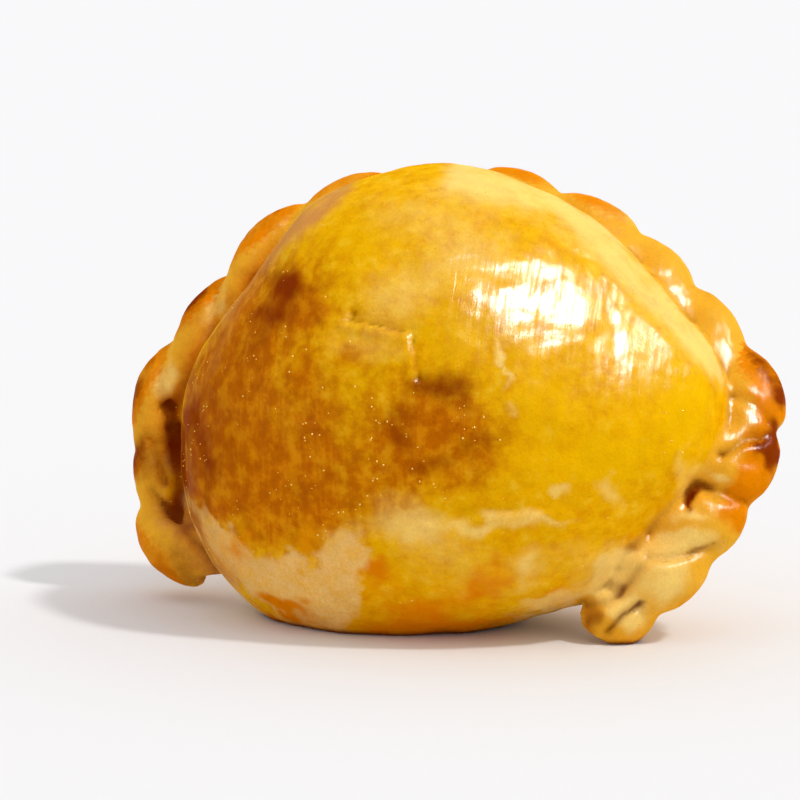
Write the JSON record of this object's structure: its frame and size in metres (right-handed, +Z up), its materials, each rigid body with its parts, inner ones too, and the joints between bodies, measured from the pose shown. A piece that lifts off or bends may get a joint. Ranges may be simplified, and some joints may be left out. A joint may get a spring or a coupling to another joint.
{
  "type": "chicken empanada",
  "caption": "Baked half-moon savoury pastry with a domed, egg-washed belly and a rolled rope edge, standing on its fold.",
  "frame": {"origin": "middle of the box's underside, in the plane that the fold's flat sole and the right tail stand on", "axes": "+X along the fold towards the right tail, +Y away from the glazed belly towards the pressed back, +Z up"},
  "size_m": [0.111, 0.053, 0.0734],
  "materials": {
    "crust": "baked wheat dough under a glossy egg wash, golden yellow, browner on its spots, pleats and sole"
  },
  "bodies": {
    "root": {"empanada": "crust"}
  },
  "joints": []
}
